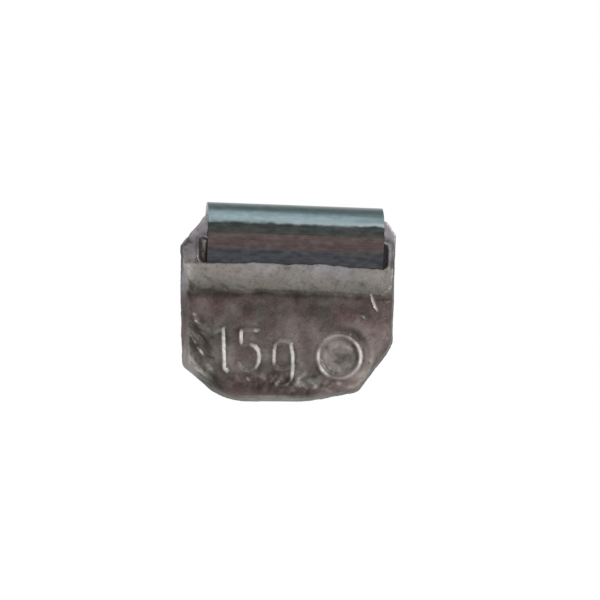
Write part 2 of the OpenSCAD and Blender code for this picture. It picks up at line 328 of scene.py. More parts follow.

# Colour: the pale arc to the right of the pin mark, the painted light and the painted shade on the left side, and
# the red-brown patch and edge at the left
ARC_R, ARC_WIDTH, ARC_ANGLE, ARC_SPREAD = 3.62, 0.18, -25, 50
LEFT_LIGHT_Z, LEFT_LIGHT_HALF = -12.3, 2.2
LEFT_EDGE_Z, LEFT_EDGE_HALF = -3.9, 2.3
WARM_CENTRE, WARM_HALF_SIZE = (-9.0, -8.4), (1.4, 1.0)
WARM_SIDE_X, WARM_SIDE_WIDTH = -11.95, 0.4

# Noise on the casting: wavelength in mm, seed, octaves
NOISES = {
    "figure_height": (0.9, 40, 1),
    "crease_course": (2.0, 41, 1),
    "crease_jitter": (0.7, 46, 2),
    "crease_width": (1.4, 47, 1),
    "crease_depth": (1.1, 42, 2),
    "crease_stain_width": (1.0, 52, 1),
    "crease_stain": (0.9, 53, 2),
    "lip_long": (1.5, 49, 1),
    "lip_short": (0.6, 50, 1),
    "scar_wobble": (0.45, 43, 2),
    "scar_wander": (1.1, 45, 1),
    "folds": (1.0, 60, 2),
    "waves": (3.2, 1, 2),
    "lumps": (0.95, 5, 3),
    "grit": (0.42, 8, 2),
    "pits": (0.9, 9, 2),
    "flash": (1.7, 44, 1),
    "mottle": (1.3, 30, 3),
    "patches": (1.1, 32, 3),
    "chips": (0.62, 51, 2),
    "stains": (1.2, 48, 2),
    "blotches": (1.7, 70, 3),
    "shine": (0.6, 31, 2),
    "warm": (3.0, 21, 2),
    "warm_band": (1.8, 72, 2),
    "cool_band": (3.6, 22, 2),
    "green_folds": (1.6, 23, 2),
    "green_face": (1.8, 24, 2),
}

# Where a mask sets in and where it is full: parts of the unit normal
FACING = {
    "front": (0.55, 0.8),
    "seen": (0.2, 0.5),
    "bottom": (0.30, 0.62),
    "left": (0.42, 0.75),
    "right": (0.2, 0.5),
    "behind": (0.4, 0.8),
    "smooth_back": (0.6, 1.0),
    "not_edge": (0.3, 0.6),
    "sideways": (0.25, 0.55),
}

# The same in mm along X
ALONG = {
    "far_left": (-5.5, -8.5),
    "band_left": (-9.5, -5.0),
    "folds": (-8.3, -9.6),
    "left_edge": (-12.15, -12.5),
    "warm_right": (3.0, 7.5),
    "green_left": (-6.5, -9.0),
}

# The same in mm along Y, outward
OUTWARD = {
    "front": (-3.3, -4.2),
    "crease": (-4.1, -4.7),
    "crease_stain": (-3.9, -4.5),
    "lip_edge": (-2.9, -3.05),
    "band": (-2.4, -3.0),
    "bottom": (-1.0, -2.6),
    "left": (-0.5, -2.4),
    "cheek": (-2.2, -2.8),
    "in_pocket": (-3.1, -2.85),
    "patches": (-3.6, -4.4),
    "face": (-4.0, -4.6),
    "bevel": (-1.4, -2.6),
    "beside_pocket": (-2.0, -2.4),
}

# The same in mm along Z; band, lip, cheek, pocket_foot and pocket_top are heights above the rim's curve
UPWARD = {
    "folds": (-8.9, -10.2),
    "band": (-6.85, -6.45),
    "lip": (-6.9, -3.6),
    "cheek": (-3.4, -2.9),
    "pocket_foot": (-3.7, -3.5),
    "pocket_top": (-0.6, -0.9),
    "pocket_side_foot": (-4.0, -3.8),
    "pocket_side_top": (-0.6, -1.0),
    "left_light": (-7.6, -6.4),
    "cheek_light": (-2.6, -1.0),
    "cheek_dark": (-0.8, -1.8),
    "warm_low": (-15.8, -17.0),
    "warm_side": (-6.3, -7.3),
    "cool_left": (-8.0, -6.6),
    "green_low": (-10.0, -11.0),
}

# The same for noise and for other masks
STRENGTH = {
    "pits": (0.30, 0.80),
    "chips": (0.05, 0.45),
    "folds": (0.05, 0.5),
    "blotches": (0.02, 0.5),
    "band_mottle": (0.05, 0.5),
    "cheek_blotches": (0.0, 0.5),
    "stains": (-0.25, 0.45),
    "worn": (0.012, 0.07),
    "sunk": (0.012, 0.06),
    "bare_scar": (0.6, 1.0),
    "warm_band": (0.05, 0.5),
    "cool_band": (0.0, 0.6),
    "green_folds": (-0.2, 0.5),
    "green_face": (0.0, 0.45),
}


def noise_at(points, name):
    return noise(points, *NOISES[name])


def fade(limits, value):
    """0 up to the first limit and 1 from the second one, which may be the lower one."""
    return smoothstep(*limits, value)


def box_mask(place, sides):
    """1 inside a box with soft sides, 0 outside."""
    return math.prod(smoothstep(start, full, place[axis]) for axis, start, full in sides)


def even_mesh(node, voxel):
    """An evenly meshed copy of a CAD node, in millimetres."""
    source = bpy.data.objects.new("casting_source", node.data.copy())
    source.data.transform(Matrix.Scale(1 / MM, 4))
    bpy.context.scene.collection.objects.link(source)
    remesh = source.modifiers.new("even", "REMESH")
    remesh.mode = "VOXEL"
    remesh.voxel_size = voxel
    remesh.use_smooth_shade = True
    mesh = bpy.data.meshes.new_from_object(source.evaluated_get(bpy.context.evaluated_depsgraph_get()))
    bpy.data.objects.remove(source)
    return mesh


def refine(mesh, wanted):
    """Cuts the faces between the wanted vertices into quarters."""
    fine = bmesh.new()
    fine.from_mesh(mesh)
    edges = [edge for edge in fine.edges if all(wanted[vert.index] for vert in edge.verts)]
    bmesh.ops.subdivide_edges(fine, edges=edges, cuts=1, use_grid_fill=True)
    fine.to_mesh(mesh)
    fine.free()


def read_points(mesh):
    flat = np.empty(len(mesh.vertices) * 3)
    mesh.vertices.foreach_get("co", flat)
    return flat.reshape(-1, 3)


def write_points(mesh, points):
    mesh.vertices.foreach_set("co", points.ravel())
    mesh.update()


def read_normals(mesh):
    flat = np.empty(len(mesh.vertices) * 3)
    mesh.vertex_normals.foreach_get("vector", flat)
    return flat.reshape(-1, 3)


def read_edges(mesh):
    flat = np.empty(len(mesh.edges) * 2, dtype=np.int64)
    mesh.edges.foreach_get("vertices", flat)
    return flat.reshape(-1, 2)


def neighbour_mean(values, edges):
    """The mean of each vertex's neighbours."""
    ends = np.concatenate((edges[:, 0], edges[:, 1]))
    others = np.concatenate((edges[:, 1], edges[:, 0]))
    count = np.bincount(ends, minlength=len(values))
    columns = [np.bincount(ends, weights=column[others], minlength=len(values)) / count for column in values.T]
    return np.stack(columns, axis=1)


def relief_of_figures(x, z):
    """Height, painted highlight, and the painted shade at the foot with its wider dark halo, each from 0 to 1, of the
    raised figures.
    """
    height, kept, halo = np.zeros(len(x)), np.zeros(len(x)), np.zeros(len(x))
    for path, strength in FIGURE_STROKES:
        away, along = along_path(x, z, path)
        share = STROKE_WORN + (1 - STROKE_WORN) * strength
        height = np.maximum(height, (1 - smoothstep(STROKE_TOP, STROKE_FOOT, away)) * share)
        ends = 1 - 0.55 * np.abs(2 * along - 1) ** 5
        # The bare ridge carries the painted highlight
        core = RIDGE_HALF_WIDTH * strength * ends
        edge = core + RIDGE_SOFTNESS + KEPT_SOFTNESS * strength
        kept = np.maximum(kept, (1 - smoothstep(core, edge, away)) * strength**1.7 * ends)
        # Painted shade at each stroke's foot, and a wider dark halo round it
        near = 0.55 * (1 - smoothstep(STROKE_FOOT, STROKE_FOOT + EDGE_REACH, away)) * strength
        halo = np.maximum(halo, near + 0.34 * (1 - smoothstep(STROKE_FOOT, STROKE_FOOT + HALO_REACH, away)))
    return height, kept, halo * (1 - smoothstep(0.1, 0.7, height))


def pin_rim(x, z):
    """Distance and direction from the pin mark's centre, and how well its rim has kept its height and how bright its
    painted highlight is, 0 to 1.
    """
    from_pin = np.hypot(x - PIN_CENTRE[0], z - PIN_CENTRE[1])
    around = np.degrees(np.arctan2(z - PIN_CENTRE[1], x - PIN_CENTRE[0]))
    kept = np.full(len(x), PIN_WORN_RIM)
    for angle, spread, strength in PIN_KEPT:
        turn = (around - angle + 180) % 360 - 180
        kept = np.maximum(kept, strength * hump(turn, spread))
    return from_pin, around, kept


def round_off(values, edges, passes):
    for _ in range(passes):
        values = 0.5 * (values + neighbour_mean(values, edges))
    return values


def round_and_refine(mesh):
    """Rounds the casting and splits its front finer. Returns how far each point stands out of its surroundings.

    The cheeks' and pockets' inner edges are drawn in to the clip's sides, so that rounding leaves no slit there.
    """
    edges = read_edges(mesh)
    points = round_off(read_points(mesh), edges, ROUNDING_PASSES)
    write_points(mesh, points)
    aside = np.abs(points[:, 0])
    near_pocket = box_mask((aside, points[:, 1], points[:, 2]), NEAR_POCKET)
    points += near_pocket[:, None] * (round_off(points, edges, POCKET_PASSES) - points)
    near_clip = box_mask((aside, points[:, 1], points[:, 2]), NEAR_CLIP)
    points[:, 0] -= np.sign(points[:, 0]) * CLIP_PULL * near_clip
    write_points(mesh, points)
    stand = np.einsum("ij,ij->i", points - round_off(points, edges, STAND_PASSES), read_normals(mesh))
    stand *= 1 - 0.8 * near_pocket
    layer = mesh.attributes.new("stand", "FLOAT", "POINT")
    layer.data.foreach_set("value", stand)
    refine(mesh, (points[:, 1] < FINE_Y) & (points[:, 2] < FINE_Z))
    stand = np.empty(len(mesh.vertices))
    mesh.attributes["stand"].data.foreach_get("value", stand)
    mesh.attributes.remove(mesh.attributes["stand"])
    write_points(mesh, round_off(read_points(mesh), read_edges(mesh), 1))
    return stand


def scar_marks(x, z, points):
    """Depth, light and dark of the scars in the front view; the light is partly a painted glint, the dark includes
    painted shadow.
    """
    wobble, wander = noise_at(points, "scar_wobble"), noise_at(points, "scar_wander")
    across, up = 0.09 * wobble, -0.09 * wobble + 0.10 * wander
    depth, light, dark = np.zeros(len(x)), np.zeros(len(x)), np.zeros(len(x))
    for path, half_width, deep, brightness in SCARS:
        away, along = along_path(x + across, z + up, path)
        width = half_width * (0.2 + 0.8 * np.sin(math.pi * along)) * (1 + 0.45 * wander)
        on = 1 - smoothstep(0.1, 1.4, away / width)
        depth = np.maximum(depth, deep * on) if deep > 0 else depth + deep * on
        light = np.maximum(light, on * max(brightness, 0) * (0.75 + 0.45 * wobble))
        dark = np.maximum(dark, on * max(-brightness, 0))
        if brightness > 0:
            # Painted shadow beside each bright scar
            shade = along_path(x + SCAR_SHADE[0] + across, z + SCAR_SHADE[1] + up, path)[0]
            dark = np.maximum(dark, 0.6 * brightness * (1 - smoothstep(0.15, 1.25, shade / width)))
    return depth, np.clip(light, 0, 1), dark * (1 - np.clip(light, 0, 1))


def fold_marks(x, z):
    """Height from -1 to 1 of the folds that run down to the right on the left margin, and where they lie."""
    lie = fade(ALONG["folds"], x + 0.25 * (z + 13.0)) * fade(UPWARD["folds"], z)
    along = math.cos(FOLD_ANGLE) * x - math.sin(FOLD_ANGLE) * z
    across = math.sin(FOLD_ANGLE) * x + math.cos(FOLD_ANGLE) * z
    place = np.stack((along / FOLD_LENGTH, across / FOLD_WIDTH, np.zeros(len(x))), axis=1)
    return noise_at(place, "folds"), lie


def survey(mesh):
    """Places, normals and named regions of the rounded casting, point by point; height follows the rim's curve."""
    cast = SimpleNamespace(points=read_points(mesh), normals=read_normals(mesh))
    cast.x, cast.y, cast.z = x, y, z = cast.points.T
    cast.nx, cast.ny, cast.nz = nx, ny, nz = cast.normals.T
    cast.height = height = z + x * x / (2 * RIM_R)
    cast.in_slot = (np.abs(x) < SLOT_HALF) & (y > SLOT_FRONT) & (y < SLOT_BACK)
    forward_facing = -round_off(cast.normals, read_edges(mesh), FACING_PASSES)[:, 1]
    cast.front = fade(FACING["front"], forward_facing) * fade(OUTWARD["front"], y)
    cast.band = fade(UPWARD["band"], height) * fade(OUTWARD["band"], y)
    cast.lip = fade(UPWARD["lip"], height)
    cast.on_face = (1 - cast.band) * fade(OUTWARD["face"], y)
    cast.bottom = fade(FACING["bottom"], -nz) * fade(OUTWARD["bottom"], y)
    cast.left = fade(FACING["left"], -nx) * fade(OUTWARD["left"], y)
    cast.behind = fade(FACING["behind"], ny)
    cast.cheek = fade(UPWARD["cheek"], height) * fade(OUTWARD["cheek"], y) * (np.abs(x) > SLOT_HALF - 0.3)
    in_pocket = smoothstep(0.58, 0.42, np.abs(np.abs(x) - POCKET_X)) * fade(OUTWARD["in_pocket"], y)
    in_pocket *= fade(UPWARD["pocket_foot"], height) * fade(UPWARD["pocket_top"], height)
    cast.in_pocket = in_pocket * (ny < 0.5)
    return cast


def raise_marks(cast):
    """How far the figures and the worn pin mark stand forward."""
    figures, cast.figures_kept, cast.halo = relief_of_figures(cast.x, cast.z)
    cast.from_pin, cast.around_pin, cast.rim_kept = pin_rim(cast.x, cast.z)
    cast.rim_away = np.abs(cast.from_pin - PIN_R)
    rim = (1 - smoothstep(0.05, PIN_RIM_HALF_WIDTH + 0.12, cast.rim_away)) * cast.front
    cast.dish = (1 - smoothstep(PIN_R - 0.5, PIN_R - 0.2, cast.from_pin)) * cast.front
    cast.in_pin = (1 - smoothstep(PIN_R - 0.9, PIN_R - 0.4, cast.from_pin)) * cast.front
    uneven = 1 + 0.30 * noise_at(cast.points, "figure_height")
    raised = STROKE_HEIGHT * figures * cast.front * uneven
    return raised - PIN_DISH * cast.dish - PIN_WEAR * rim * (1 - cast.rim_kept)


def sink_creases(cast):
    """How deep the crease under the sloping band and the shallow hollow beside the pin mark are."""
    points, far_left = cast.points, fade(ALONG["far_left"], cast.x)
    course = CREASE_Z + 0.20 * noise_at(points, "crease_course")
    course += (0.14 + 0.20 * far_left) * noise_at(points, "crease_jitter")
    width = 0.24 + 0.10 * far_left + 0.14 * noise_at(points, "crease_width")
    crease = hump(cast.height - course, width) * fade(OUTWARD["crease"], cast.y)
    cast.crease = crease * (0.8 + 0.45 * noise_at(points, "crease_depth"))
    # A wider band of painted shade along the crease
    width = 0.40 + 0.12 * far_left + 0.16 * noise_at(points, "crease_stain_width")
    stain = hump(cast.height - course + 0.04, width) * fade(OUTWARD["crease_stain"], cast.y)
    cast.crease_stain = stain * (0.62 + 0.55 * noise_at(points, "crease_stain"))
    hollow = hump(cast.from_pin - HOLLOW_R, HOLLOW_HALF_WIDTH) * hump(cast.around_pin - HOLLOW_ANGLE, HOLLOW_SPREAD)
    cast.hollow = hollow * cast.front
    return CREASE_DEPTH * cast.crease + HOLLOW_DEPTH * cast.hollow


def cut_scars(cast):
    """How deep the scars are, less what the folds on the left margin stand out."""
    depth, light, dark = scar_marks(cast.x, cast.z, cast.points)
    seen = fade(FACING["seen"], -cast.ny) * (~cast.in_slot)
    cast.scar_light, cast.scar_dark = light * seen, dark * seen
    cast.folds, lie = fold_marks(cast.x, cast.z)
    cast.fold_lie = lie * cast.front
    return depth * seen - FOLD_HEIGHT * cast.folds * cast.fold_lie


def rag_lip(cast):
    """How far up the band's ragged edge reaches, against the clip's leg."""
    on_lip = hump(cast.height - LIP_EDGE_Z, LIP_EDGE_HALF_WIDTH) * fade(OUTWARD["lip_edge"], cast.y)
    on_lip = on_lip * (np.abs(cast.x) < SLOT_HALF)
    return on_lip * (0.09 * noise_at(cast.points, "lip_long") + 0.07 * noise_at(cast.points, "lip_short") - 0.02)


def grow_skin(cast):
    """Cast skin along the normals: waves, lumps, grit and pits, rougher under the figures, and the parting flash."""
    rough = spot(cast.x, cast.z, ROUGH_CENTRE, ROUGH_HALF_SIZE, power=4) * cast.front
    rough *= smoothstep(PIN_R + 0.1, PIN_R + 0.6, cast.from_pin)
    cast.rough = np.maximum(rough, 0.5 * cast.in_pin)
    cast.pits = fade(STRENGTH["pits"], noise_at(cast.points, "pits"))
    calm = 1 - 0.35 * cast.front * (1 - cast.rough) - 0.25 * cast.band
    grit = (GRIT_HEIGHT + ROUGH_GRIT_HEIGHT * cast.rough) * noise_at(cast.points, "grit")
    cast.skin = LUMP_HEIGHT * noise_at(cast.points, "lumps") * calm + grit - PIT_DEPTH * cast.pits
    outside = np.where(cast.in_slot, 0.0, 1 - 0.6 * fade(FACING["smooth_back"], cast.ny))
    skin = (WAVE_HEIGHT * noise_at(cast.points, "waves") + cast.skin) * outside
    parting = hump(cast.y - PARTING_Y, PARTING_HALF_WIDTH) * (1 - fade(FACING["not_edge"], np.abs(cast.ny)))
    parting = parting * (~cast.in_slot)
    return skin + FLASH_HEIGHT * parting * (0.6 + 0.4 * noise_at(cast.points, "flash"))


def weather(cast, stand):
    """Wear, painted shade in the hollows, and patches that both the light and the dark mask use."""
    cast.worn = fade(STRENGTH["worn"], stand + 0.55 * cast.skin)
    beside_clip = (np.abs(cast.x) < SLOT_HALF + 0.6) * (cast.y > -3.4)
    # Painted shade in what lies deep
    cast.sunk = fade(STRENGTH["sunk"], -stand - 0.55 * cast.skin) * (1 - 0.8 * beside_clip)
    cast.patches = sum_of_spots(cast.x, cast.z, PATCHES) * fade(OUTWARD["patches"], cast.y)
    cast.mottle = noise_at(cast.moved, "mottle")
    cast.chips = noise_at(cast.moved, "chips")
    cast.blotches = noise_at(cast.moved, "blotches")
    bevel = fade(FACING["sideways"], np.hypot(cast.nx, cast.nz)) * fade(OUTWARD["bevel"], cast.y)
    cast.bevel = bevel * (0.8 + 0.5 * cast.mottle)


def light_mask(cast):
    """How light the lead is: by region and patch, on chips, folds and scars, where worn, and round the pin mark, with
    painted light on the band's top, the left side, the rim and in the pockets.
    """
    # Painted light on the left-facing side, where the cool light from the left falls
    left_light = 0.14 + 0.34 * fade(UPWARD["left_light"], cast.z)
    left_light += 0.20 * hump(cast.z - LEFT_LIGHT_Z, LEFT_LIGHT_HALF)
    cheek_light = 0.38 + 0.44 * fade(UPWARD["cheek_light"], cast.z)
    # Painted light: the sloping band is lighter towards its top, which faces the light from above
    light = cast.band * (0.04 + 0.34 * cast.lip) * (0.75 + 0.25 * fade(ALONG["band_left"], cast.x))
    light = light + left_light * cast.left + cheek_light * cast.cheek
    light = np.clip(light, 0, 0.78) * (0.9 + 0.45 * cast.mottle)
    light += np.clip(cast.patches, 0, 1) * (0.9 + 0.5 * noise_at(cast.moved, "patches"))
    on_folds = 0.55 * cast.fold_lie * fade(STRENGTH["folds"], cast.folds)
    light += cast.rough * fade(STRENGTH["chips"], cast.chips) + on_folds
    light = np.maximum(light, 0.85 * cast.scar_light)
    worn = 0.25 * cast.worn * (1 - 0.5 * cast.band) * (1 - 0.7 * fade(FACING["right"], cast.nx))
    light += worn + 0.16 * cast.behind * (1 + 0.5 * cast.mottle)
    # Painted light in the pockets, which lifts their shade
    light = np.maximum(light, 0.85 * cast.in_pocket * (0.85 + 0.4 * cast.mottle))
    on_face = 0.20 * cast.on_face * fade(STRENGTH["blotches"], -cast.blotches)
    light += on_face + 0.28 * cast.in_pin * (0.9 + 0.5 * cast.mottle)
    arc = hump(cast.from_pin - ARC_R, ARC_WIDTH) * hump(cast.around_pin - ARC_ANGLE, ARC_SPREAD, power=4)
    light += 0.38 * arc * cast.on_face * (0.8 + 0.5 * cast.blotches)
    # Painted light where the rim's bottom and sides catch the light
    light += cast.bevel * sum_of_spots(cast.x, cast.z, RIM_LIGHTS)
    return light + 0.22 * cast.cheek * fade(STRENGTH["cheek_blotches"], -cast.blotches)


def dark_mask(cast):
    """How dark it is, with painted shade in what lies deep, along the crease and the left flank, and round pockets and
    marks; and on dark patches, chips, folds and scars.
    """
    # Painted shade in what lies deep and along the crease
    dark = 0.5 * cast.sunk + 0.35 * cast.crease + 0.52 * cast.crease_stain + 0.2 * cast.pits + 0.75 * cast.hollow
    dark -= np.clip(cast.patches, -1, 0) * 1.4
    chips = 0.9 * cast.rough * (1 - 0.6 * cast.in_pin) * fade(STRENGTH["chips"], -cast.chips)
    dark += chips + 0.65 * cast.fold_lie * fade(STRENGTH["folds"], -cast.folds)
    on_band = 0.30 * cast.band * (1 - 0.7 * cast.lip) * fade(STRENGTH["band_mottle"], cast.mottle)
    dark += 0.42 * cast.on_face * fade(STRENGTH["blotches"], cast.blotches) + on_band
    # Grime on the rim, and painted shade along its left edge near the top
    dark += cast.bevel * sum_of_spots(cast.x, cast.z, RIM_STAINS)
    # Painted shade along the left flank, behind its edge
    left_edge = fade(ALONG["left_edge"], cast.x) * hump(cast.z - LEFT_EDGE_Z, LEFT_EDGE_HALF, power=4)
    dark += 0.85 * (left_edge * (0.8 + 0.4 * cast.mottle))
    aside = np.abs(cast.x)
    # Painted shade along the pockets' outer side and at their top
    pocket_side = hump(aside - POCKET_SIDE_X - 0.08 * cast.mottle, POCKET_SIDE_WIDTH)
    pocket_side *= fade(UPWARD["pocket_side_foot"], cast.z) * fade(UPWARD["pocket_side_top"], cast.z)
    pocket_top = spot(aside, cast.z, (POCKET_X, POCKET_TOP_Z), POCKET_TOP_HALF_SIZE, power=4)
    dark += 0.75 * (pocket_side + pocket_top) * fade(OUTWARD["beside_pocket"], cast.y)
    on_cheek = fade(STRENGTH["cheek_blotches"], cast.blotches) * fade(UPWARD["cheek_dark"], cast.z)
    dark += 0.40 * cast.cheek * on_cheek
    stains = fade(STRENGTH["stains"], noise_at(cast.moved, "stains"))
    # Painted shade beside the pin rim and round the figures' feet
    beside_rim = hump(cast.rim_away - 0.42, 0.14) * (0.3 + 0.7 * cast.rim_kept)
    dark += (cast.halo * (0.3 + 0.5 * stains) + 0.55 * beside_rim) * cast.front + 0.12 * cast.dish * stains
    # The pockets lose their dark, so that their painted light lifts their shade
    return np.maximum(dark, cast.scar_dark) * (1 - 0.9 * cast.in_pocket)


def shine_mask(cast):
    """How bare the metal is and how bright its painted highlight is, on the figures, the pin mark's rim and the fresh
    scars.
    """
    rim = 1.2 - 1.2 * smoothstep(0.04, 0.19 + 0.06 * cast.rim_kept, cast.rim_away)
    shine = np.maximum(cast.figures_kept * cast.front, rim * cast.front * cast.rim_kept)
    shine = shine * (0.8 + 0.5 * noise_at(cast.moved, "shine"))
    return np.maximum(shine, fade(STRENGTH["bare_scar"], cast.scar_light) * 0.8)


def tint_masks(cast):
    """How red-brown, how blue-grey and how green the lead is; the blue-grey on the left side is the painted colour of
    the cool light from the left.
    """
    warm = (cast.on_face + 0.3 * cast.behind) * (0.5 + 0.5 * noise_at(cast.moved, "warm"))
    by_place = 1.3 * spot(cast.x, cast.z, WARM_CENTRE, WARM_HALF_SIZE) + 0.5 * fade(ALONG["warm_right"], cast.x)
    warm += cast.on_face * (by_place + 0.45 * fade(UPWARD["warm_low"], cast.z))
    warm += 0.9 * hump(cast.x - WARM_SIDE_X, WARM_SIDE_WIDTH) * fade(UPWARD["warm_side"], cast.z)
    on_band = fade(STRENGTH["warm_band"], noise_at(cast.moved, "warm_band"))
    warm += 0.7 * cast.band * on_band * (1 - 0.5 * cast.lip)

    on_band = fade(STRENGTH["cool_band"], noise_at(cast.moved, "cool_band") + 0.4 * cast.lip)
    # The blue-grey on the left-facing side is the painted colour of the cool light from the left
    cool = cast.left * fade(UPWARD["cool_left"], cast.z) + 0.4 * cast.cheek + cast.band * cast.lip * on_band

    green = cast.band * (1 - 0.6 * cast.lip) + 0.8 * cast.halo * cast.front + 0.9 * cast.hollow
    green += 0.7 * cast.fold_lie * fade(STRENGTH["green_folds"], noise_at(cast.moved, "green_folds"))
    green += 0.6 * fade(ALONG["green_left"], cast.x) * fade(UPWARD["green_low"], cast.z) * cast.on_face
    on_face = cast.on_face * fade(STRENGTH["green_face"], noise_at(cast.moved, "green_face"))
    green += 0.5 * cast.bottom + 0.6 * cast.dish + 0.9 * on_face
    return np.stack((warm, cool, green), axis=1)


def shape_casting(mesh):
    """Rounds, roughens and marks the casting. Returns the masks of its finish with its painted light and shade, and of
    its tint.
    """
    stand = round_and_refine(mesh)
    cast = survey(mesh)
    forward = raise_marks(cast) - sink_creases(cast) - cut_scars(cast)
    upward = rag_lip(cast)
    outward = grow_skin(cast)
    shift = np.stack((np.zeros_like(upward), -forward, upward), axis=1)
    cast.moved = cast.points + cast.normals * outward[:, None] + shift
    write_points(mesh, cast.moved)

    # Regions stay where the rounded casting has them, while the noise in the masks is taken where points end up
    weather(cast, stand)
    light, dark, shine = light_mask(cast), dark_mask(cast), shine_mask(cast)
    # The finish holds the lightness with its painted light, the dark with its painted shade, and the bare metal with
    # its painted highlight
    finish = np.stack((light, dark * (1 - np.clip(shine, 0, 1)), shine), axis=1)
    finish = round_off(np.clip(finish, 0, 1), read_edges(mesh), 2)
    return finish, np.clip(tint_masks(cast), 0, 1)


def store_mask(mesh, name, mask):
    layer = mesh.color_attributes.new(name, "FLOAT_COLOR", "POINT")
    layer.data.foreach_set("color", np.column_stack((mask, np.ones(len(mask)))).ravel())


# Materials

# Lead: noise (scale, detail, what counts as 0 and as 1), dark and light colours of its patches as seen on screen,
# and the layers over them: mask, strength, colour. The top layers lay on the bare metal with its painted highlight,
# and the dark mask's dirt and painted shade
LEAD_NOISES = {
    "patches": (620.0, 4.0, 0.35, 0.68),
    "grain": (4200.0, 3.0, 0.3, 0.7),
    "speckle": (2300.0, 2.0, 0.52, 0.72),
    "smudge": (1250.0, 3.0, 0.40, 0.70),
}
LEAD_DARK = (52, 46, 44), (98, 90, 87)
LEAD_DARK_LAYERS = [("warm", 0.58, (92, 65, 64)), ("green", 0.5, (74, 79, 71))]
LEAD_LIGHT = (132, 128, 125), (176, 174, 170)
LEAD_LIGHT_LAYERS = [("warm", 0.6, (174, 160, 159)), ("green", 0.5, (150, 152, 140)), ("cool", 0.7, (164, 160, 172))]
LEAD_TOP_LAYERS = [
    ("smudge", 0.30, (58, 52, 50)),
    ("shine", 1.0, (232, 229, 225)),
    ("speckle", 0.38, (48, 45, 42)),
    ("grain", 0.24, (126, 119, 115)),
    ("dark", 0.85, (38, 34, 32)),
]
LEAD_ROUGHNESS = 0.30, 0.46
LEAD_METALLIC = 0.8
LEAD_SPECULAR_TINT = (0.45, 0.45, 0.45, 1)
LEAD_BUMP = {"Strength": 0.6, "Distance": 0.00003}

# Clip: noise as above; a scale for each axis stretches it
STEEL_NOISES = {
    "streaks": ((120.0, 9000.0, 9000.0), 3.0, 0.3, 0.7),
    "blots": ((1100.0, 2300.0, 2300.0), 3.0, 0.32, 0.68),
    "clouds": (420.0, 3.0, 0.3, 0.7),
    "gleam": (160.0, 2.0, 0.50, 0.62),
}

# Painted reflections on the front of the clip, in bands from the casting's lip upwards, with the bend's painted
# highlight among them: height in mm, colour
PLATING_BANDS = [
    (-3.5, (49, 50, 58)),
    (-2.25, (56, 56, 62)),
    (-2.0, (78, 62, 62)),
    (-0.55, (86, 68, 66)),
    (-0.35, (49, 51, 46)),
    (0.62, (45, 52, 51)),
    (0.90, (134, 151, 154)),
    (1.25, (112, 131, 136)),
    (2.05, (88, 107, 111)),
    (2.35, (58, 78, 80)),
    (2.75, (72, 92, 94)),
]
BANDS_LOW, BANDS_HIGH = -4.0, 3.2
BANDS_WAVER, BANDS_RAG = 0.14, 0.10

# The pale highlight where the bend begins: where it is gone, where it is full and where it stops, in mm
HIGHLIGHT_GONE, HIGHLIGHT_FULL, HIGHLIGHT_STOP = 1.25, 0.90, 0.80
HIGHLIGHT_STRENGTH, HIGHLIGHT_COLOUR = 0.3, (200, 203, 210)

# Where the bands set in and are full, in mm along Y, and the plain steel behind; the strip's cut ends, pale above
# and with painted shade where the casting shelters them, in mm along Z; and the layers over all
IN_FRONT = -0.5, -1.4
PLAIN_STEEL = (110, 119, 123), (126, 136, 139)
CUT_FACING = 0.3
CUT_SHELTERED = 0.8, -0.4
CUT_STEEL = (158, 157, 153), (72, 66, 66)
PALE_BLOTS, DARK_BLOTS, FINE_STREAKS = (118, 120, 120), (34, 38, 38), (150, 152, 154)
STEEL_ROUGHNESS = 0.24, 0.36
CUT_ROUGHNESS = 0.6
STEEL_METALLIC = 0.9
STEEL_BUMP = {"Strength": 0.25, "Distance": 0.000008}


def colour(red, green, blue):
    """A colour as seen on screen, 0 to 255, as linear values."""
    linear = [v / 12.92 if v <= 0.04045 else ((v + 0.055) / 1.055) ** 2.4 for v in (red / 255, green / 255, blue / 255)]
    return (*linear, 1.0)


def feed(tree, socket, value):
    """Links another node's output to a socket, or gives the socket a value."""
    if isinstance(value, bpy.types.NodeSocket):
        tree.links.new(value, socket)
    else:
        socket.default_value = value


def add_node(tree, kind, inputs=None, **settings):
    node = tree.nodes.new(kind)
    for name, value in settings.items():
        setattr(node, name, value)
    for key, value in (inputs or {}).items():
        feed(tree, node.inputs[key], value)
    return node


def math_of(tree, operation, first, second=0.0, third=0.0):
    return add_node(tree, "ShaderNodeMath", {0: first, 1: second, 2: third}, operation=operation).outputs[0]


def times(tree, first, second):
    return math_of(tree, "MULTIPLY", first, second)


def blend(tree, factor, first, second):
    """first where the factor is 0, second where it is 1."""
    node = add_node(tree, "ShaderNodeMix", data_type="RGBA")
    for key, value in ((0, factor), (6, first), (7, second)):
        feed(tree, node.inputs[key], value)
    return node.outputs[2]


def overlay(tree, tone, masks, layers):
    """Lays colours over a tone, each by its mask and strength."""
    for name, strength, shade in layers:
        tone = blend(tree, times(tree, masks[name], strength), tone, colour(*shade))
    return tone


def remap(tree, value, low, high, to_low=0.0, to_high=1.0):
    """The value with low..high of it stretched to to_low..to_high, and held there outside."""
    spread = {"Value": value, "From Min": low, "From Max": high, "To Min": to_low, "To Max": to_high}
    return add_node(tree, "ShaderNodeMapRange", spread).outputs[0]


def noise_of(tree, place, scale, detail, low, high):
    """Noise remapped so that low..high of it becomes 0..1; a scale for each axis stretches it."""
    if isinstance(scale, tuple):
        place = add_node(tree, "ShaderNodeMapping", {"Vector": place, "Scale": scale}).outputs[0]
        scale = 1.0
    raw = add_node(tree, "ShaderNodeTexNoise", {"Vector": place, "Scale": scale, "Detail": detail})
    return remap(tree, raw.outputs["Fac"], low, high)


def new_material(name):
    material = bpy.data.materials.new(name)
    material.use_nodes = True
    tree = material.node_tree
    return material, tree, tree.nodes["Principled BSDF"].inputs


